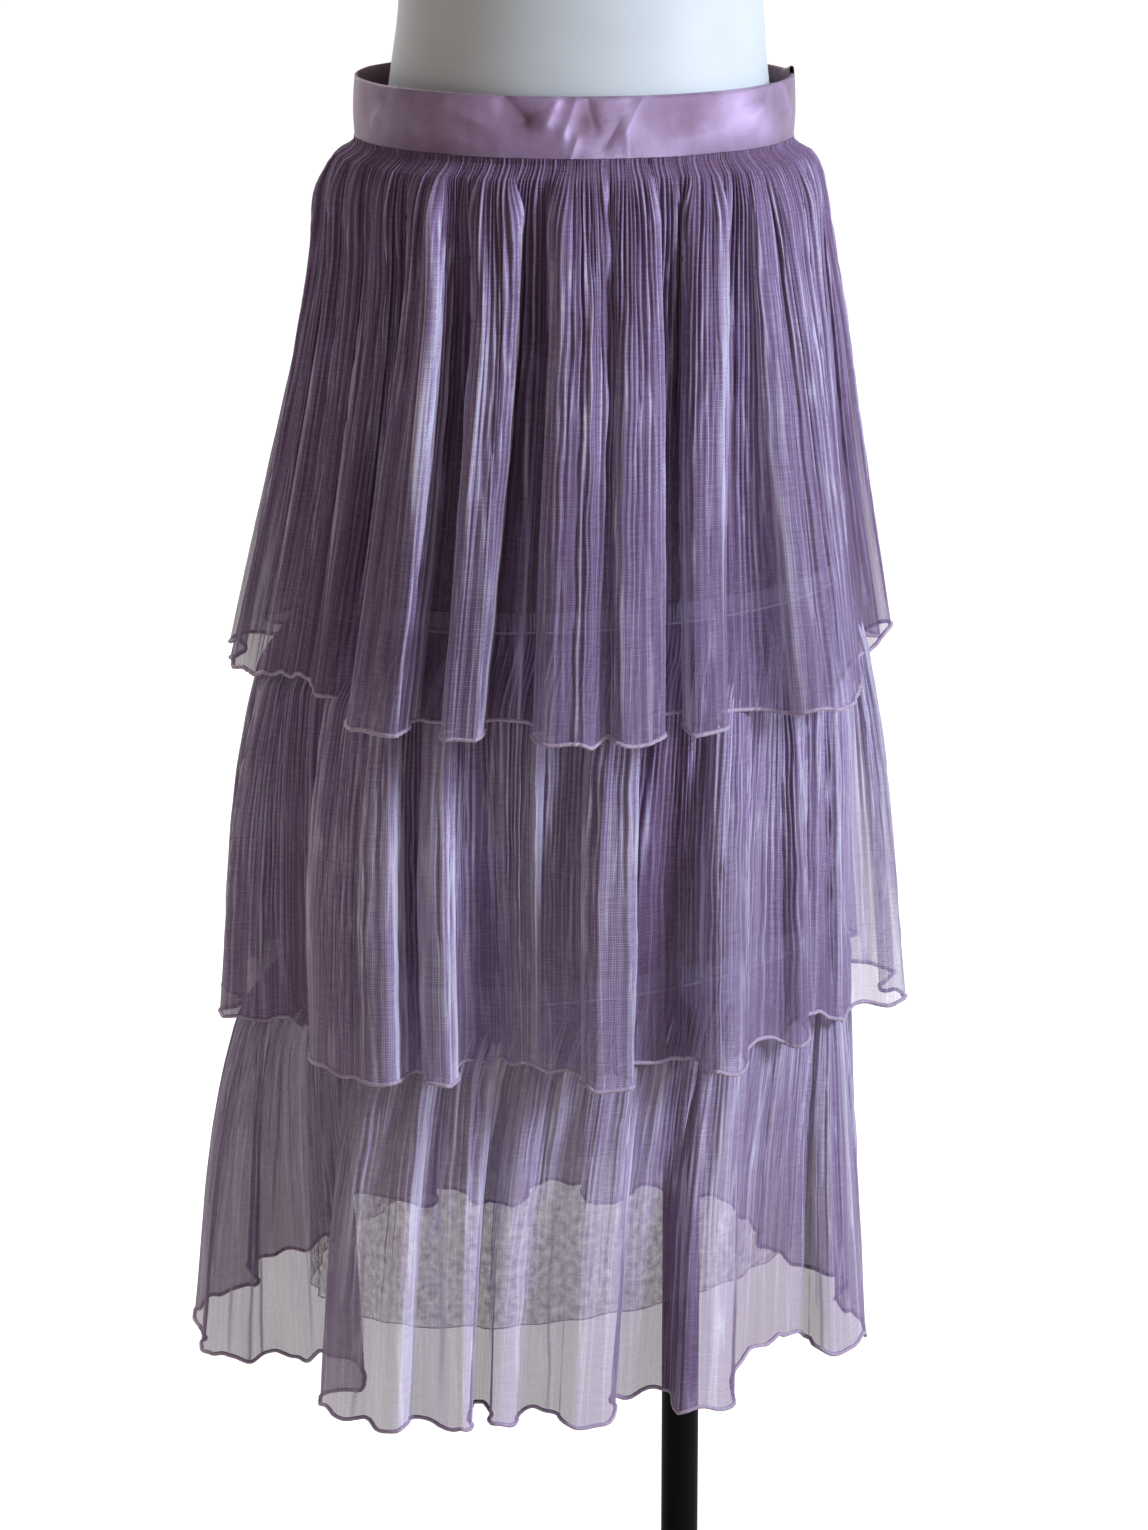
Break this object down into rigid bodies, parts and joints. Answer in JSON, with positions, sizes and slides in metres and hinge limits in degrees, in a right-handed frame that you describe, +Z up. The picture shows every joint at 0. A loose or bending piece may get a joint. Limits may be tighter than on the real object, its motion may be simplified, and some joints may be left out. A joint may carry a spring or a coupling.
{
  "type": "tiered tulle skirt on a dress form",
  "caption": "Midi skirt of pleated sheer tulle in stepped tiers over a plain net lining, with a satin waistband, worn by a smooth limbless dress form on a pole stand.",
  "frame": {"origin": "on the floor, at the centre of the stand's base plate, under the middle of the skirt", "axes": "+Z up, -Y the front of the skirt, +X to the right in front view, the side with the waistband's opening"},
  "size_m": [0.4476, 0.4419, 1.176],
  "materials": {
    "tulle": "sheer crinkle-pleated tulle",
    "lining": "plain sheer net",
    "satin": "satin",
    "form": "smooth, semi-matte",
    "stand": "black paint"
  },
  "bodies": {
    "root": {"waistband": "satin", "lining_front": "lining", "lining_back": "lining", "tier_1_front": "tulle", "tier_1_back": "tulle", "tier_2_front": "tulle", "tier_2_back": "tulle", "tier_3_front": "tulle", "tier_3_back": "tulle", "dress_form": "form", "stand_pole": "stand", "stand_base": "stand"}
  },
  "joints": []
}
